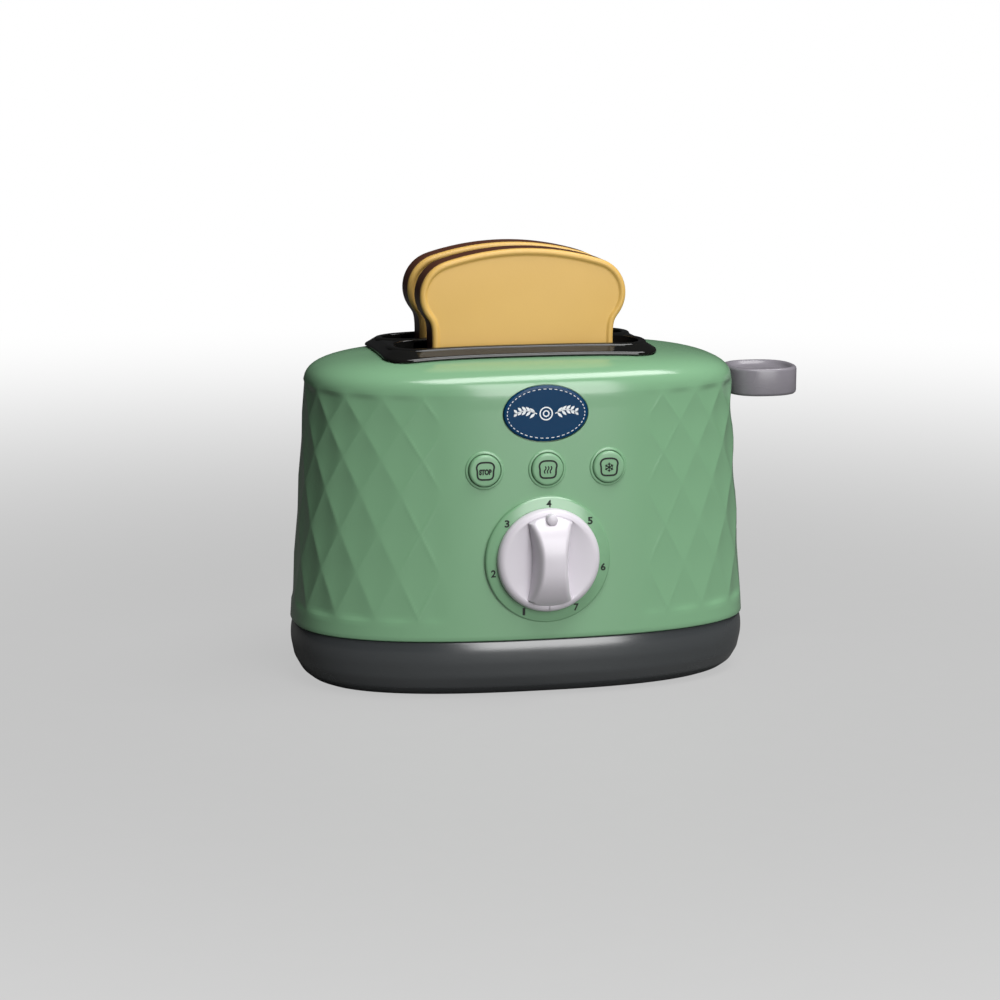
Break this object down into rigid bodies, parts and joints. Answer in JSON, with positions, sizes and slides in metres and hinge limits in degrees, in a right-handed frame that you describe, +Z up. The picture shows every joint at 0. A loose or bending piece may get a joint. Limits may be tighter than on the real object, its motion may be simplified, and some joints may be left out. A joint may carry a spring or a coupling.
{
  "type": "toy toaster",
  "caption": "Toy pop-up toaster with a faceted casing, two slices of play bread, a spring-loaded push-down lever, press buttons and a clicking dial.",
  "frame": {"origin": "middle of the flat underside of the base", "axes": "+X towards the lever's end, +Z up, the dial and buttons face -Y"},
  "size_m": [0.1712, 0.0943, 0.1427],
  "materials": {
    "casing_green": "glossy moulded, flat diamond facets",
    "button_green": "glossy moulded",
    "base_grey": "semi-gloss moulded",
    "frame_black": "high gloss",
    "badge_blue": "glossy printed label on plastic",
    "knob_lilac_white": "satin",
    "lever_white": "satin",
    "toast_tan": "fine grain",
    "crust_brown": "fine grain",
    "inner_white": "moulded",
    "chute_dark": "moulded",
    "steel": "zinc plated",
    "spring_steel": "drawn wire and strip"
  },
  "bodies": {
    "casing": {"base_tray": "base_grey", "body_shell": "casing_green", "slot_frame": "frame_black", "bread_chute": "chute_dark", "badge_plate": "badge_blue", "button_plate": "inner_white", "base_screw_1": "steel", "base_screw_2": "steel", "base_screw_3": "steel", "base_screw_4": "steel", "chute_screw_1": "steel", "chute_screw_2": "steel", "guide_rod_front": "steel", "guide_rod_rear": "steel", "click_spring_screw": "steel", "button_plate_screw_1": "steel", "button_plate_screw_2": "steel", "rocker_pin": "steel", "lift_spring_front": "spring_steel", "lift_spring_rear": "spring_steel", "click_spring": "spring_steel", "button_spring_stop": "spring_steel", "button_spring_toast": "spring_steel", "button_spring_defrost": "spring_steel"},
    "carriage": {"carriage": "inner_white", "lever_paddle": "lever_white"},
    "bread_front": {"bread_front_face": "toast_tan", "bread_front_crust": "crust_brown"},
    "bread_rear": {"bread_rear_face": "toast_tan", "bread_rear_crust": "crust_brown"},
    "dial": {"dial_knob": "knob_lilac_white", "dial_star_wheel": "inner_white", "dial_washer": "steel", "dial_screw": "steel"},
    "stop_button": {"button_stop": "button_green"},
    "toast_button": {"button_toast": "button_green"},
    "defrost_button": {"button_defrost": "button_green"},
    "rocker": {"release_rocker": "inner_white"}
  },
  "joints": [
    {"name": "lever_press", "type": "slide", "parent": "casing", "child": "carriage", "axis": [0, 0, -1], "range_m": [0, 0.042], "stiffness_N_per_m": 40, "springref_m": -0.03, "deforming": ["lift_spring_front", "lift_spring_rear"]},
    {"name": "bread_front_lift", "type": "slide", "parent": "carriage", "child": "bread_front", "axis": [0, 0, 1], "range_m": [0, 0.03]},
    {"name": "bread_rear_lift", "type": "slide", "parent": "carriage", "child": "bread_rear", "axis": [0, 0, 1], "range_m": [0, 0.03]},
    {"name": "dial_turn", "type": "hinge", "parent": "casing", "child": "dial", "pos_m": [0, -0.0423, 0.0456], "axis": [0, 1, 0], "range_deg": [-154.3, 154.3]},
    {"name": "stop_press", "type": "slide", "parent": "casing", "child": "stop_button", "axis": [0, 1, 0], "range_m": [0, 0.002], "stiffness_N_per_m": 300, "springref_m": -0.002},
    {"name": "toast_press", "type": "slide", "parent": "casing", "child": "toast_button", "axis": [0, 1, 0], "range_m": [0, 0.002], "stiffness_N_per_m": 300, "springref_m": -0.002},
    {"name": "defrost_press", "type": "slide", "parent": "casing", "child": "defrost_button", "axis": [0, 1, 0], "range_m": [0, 0.002], "stiffness_N_per_m": 300, "springref_m": -0.002},
    {"name": "rocker_turn", "type": "hinge", "parent": "casing", "child": "rocker", "pos_m": [0.008, -0.0241, 0.0605], "axis": [0, 0, -1], "range_deg": [0, 4.1]}
  ],
  "couplings": [
    {"joint": "rocker_turn", "follows": "stop_press", "rad_per_m": 35.336}
  ]
}
